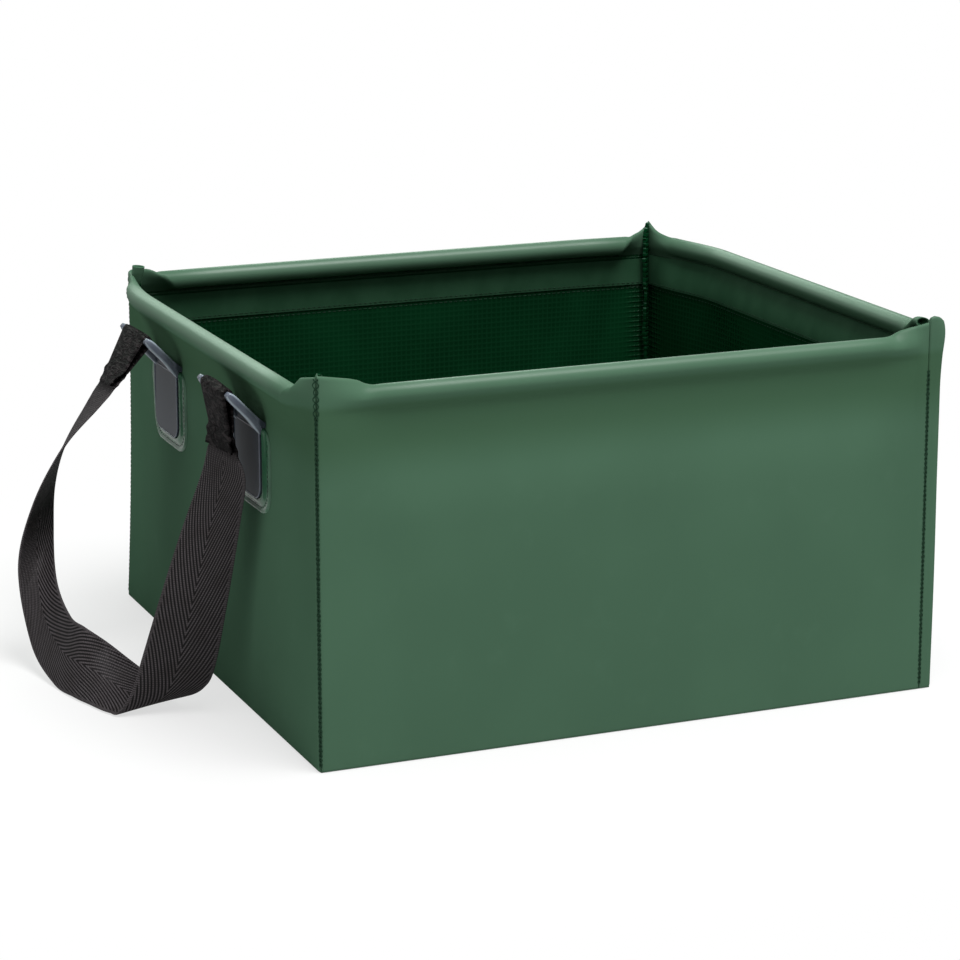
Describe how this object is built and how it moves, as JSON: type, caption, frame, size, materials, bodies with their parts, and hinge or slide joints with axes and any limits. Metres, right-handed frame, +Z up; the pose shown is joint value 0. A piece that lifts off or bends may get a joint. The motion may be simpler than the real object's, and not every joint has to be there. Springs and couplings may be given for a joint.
{
  "type": "collapsible bucket",
  "caption": "Open rectangular folding basin of coated cloth with a rolled rim and webbing side handles. Its walls crease at mid height, so the rim presses down flat.",
  "frame": {"origin": "on the floor, at the middle of the base", "axes": "+Z up, +X along the longer side towards the right handle, the front wall faces -Y"},
  "size_m": [0.5302, 0.335, 0.203],
  "materials": {
    "tarpaulin": "coated cloth, satin",
    "tarpaulin_base": "coated cloth, glossy inside face",
    "facing": "coated cloth, matte",
    "seam_tape": "coated cloth, stitched",
    "webbing": "woven chevron webbing",
    "loop_plastic": "moulded, smooth",
    "stiffener": "extruded rod"
  },
  "bodies": {
    "base": {"bottom_panel": "tarpaulin_base"},
    "front_lower": {"front_wall_lower": "tarpaulin", "corner_seam_front_left_lower": "seam_tape", "corner_seam_front_right_lower": "seam_tape"},
    "front_upper": {"front_wall_upper": "tarpaulin", "front_hem_facing": "facing", "corner_seam_front_left_upper": "seam_tape", "corner_seam_front_right_upper": "seam_tape"},
    "rim": {"front_hem_sleeve": "tarpaulin", "back_hem_sleeve": "tarpaulin", "left_hem_sleeve": "tarpaulin", "right_hem_sleeve": "tarpaulin", "front_stiffener_rod": "stiffener", "back_stiffener_rod": "stiffener", "left_stiffener_rod": "stiffener", "right_stiffener_rod": "stiffener", "rim_corner_front_left": "tarpaulin", "rim_corner_front_right": "tarpaulin", "rim_corner_back_left": "tarpaulin", "rim_corner_back_right": "tarpaulin"},
    "back_lower": {"back_wall_lower": "tarpaulin", "corner_seam_back_left_lower": "seam_tape", "corner_seam_back_right_lower": "seam_tape"},
    "back_upper": {"back_wall_upper": "tarpaulin", "back_hem_facing": "facing", "corner_seam_back_left_upper": "seam_tape", "corner_seam_back_right_upper": "seam_tape"},
    "left_lower": {"left_wall_lower": "tarpaulin"},
    "left_upper": {"left_wall_upper": "tarpaulin", "left_hem_facing": "facing", "anchor_patch_left_front": "tarpaulin", "anchor_patch_left_back": "tarpaulin", "webbing_loop_left_front": "loop_plastic", "webbing_loop_left_back": "loop_plastic"},
    "left_handle": {"handle_left": "webbing"},
    "right_lower": {"right_wall_lower": "tarpaulin"},
    "right_upper": {"right_wall_upper": "tarpaulin", "right_hem_facing": "facing", "anchor_patch_right_front": "tarpaulin", "anchor_patch_right_back": "tarpaulin", "webbing_loop_right_front": "loop_plastic", "webbing_loop_right_back": "loop_plastic"},
    "right_handle": {"handle_right": "webbing"}
  },
  "joints": [
    {"name": "front_base_fold", "type": "hinge", "parent": "base", "child": "front_lower", "pos_m": [0, -0.1665, 0.002], "axis": [-1, 0, 0], "range_deg": [0, 80]},
    {"name": "collapse", "type": "hinge", "parent": "front_lower", "child": "front_upper", "pos_m": [0, -0.1675, 0.0918], "axis": [1, 0, 0], "range_deg": [0, 160]},
    {"name": "front_rim_fold", "type": "hinge", "parent": "front_upper", "child": "rim", "pos_m": [0, -0.1665, 0.1816], "axis": [-1, 0, 0], "range_deg": [0, 80]},
    {"name": "back_base_fold", "type": "hinge", "parent": "base", "child": "back_lower", "pos_m": [0, 0.1665, 0.002], "axis": [1, 0, 0], "range_deg": [0, 80]},
    {"name": "back_crease", "type": "hinge", "parent": "back_lower", "child": "back_upper", "pos_m": [0, 0.1675, 0.0918], "axis": [-1, 0, 0], "range_deg": [0, 160]},
    {"name": "left_base_fold", "type": "hinge", "parent": "base", "child": "left_lower", "pos_m": [-0.175, 0, 0.002], "axis": [0, -1, 0], "range_deg": [0, 80]},
    {"name": "left_crease", "type": "hinge", "parent": "left_lower", "child": "left_upper", "pos_m": [-0.174, 0, 0.0918], "axis": [0, 1, 0], "range_deg": [0, 160]},
    {"name": "right_base_fold", "type": "hinge", "parent": "base", "child": "right_lower", "pos_m": [0.175, 0, 0.002], "axis": [0, 1, 0], "range_deg": [0, 80]},
    {"name": "right_crease", "type": "hinge", "parent": "right_lower", "child": "right_upper", "pos_m": [0.174, 0, 0.0918], "axis": [0, -1, 0], "range_deg": [0, 160]},
    {"name": "left_handle_swing", "type": "hinge", "parent": "left_upper", "child": "left_handle", "pos_m": [-0.193, 0, 0.177], "axis": [0, 1, 0], "range_deg": [0, 140]},
    {"name": "right_handle_swing", "type": "hinge", "parent": "right_upper", "child": "right_handle", "pos_m": [0.193, 0, 0.177], "axis": [0, -1, 0], "range_deg": [0, 140]}
  ],
  "couplings": [
    {"joint": "front_base_fold", "follows": "collapse", "ratio": 0.5},
    {"joint": "front_rim_fold", "follows": "collapse", "ratio": 0.5},
    {"joint": "back_base_fold", "follows": "collapse", "ratio": 0.5},
    {"joint": "back_crease", "follows": "collapse", "ratio": 1},
    {"joint": "left_base_fold", "follows": "collapse", "ratio": 0.5},
    {"joint": "left_crease", "follows": "collapse", "ratio": 1},
    {"joint": "right_base_fold", "follows": "collapse", "ratio": 0.5},
    {"joint": "right_crease", "follows": "collapse", "ratio": 1}
  ]
}
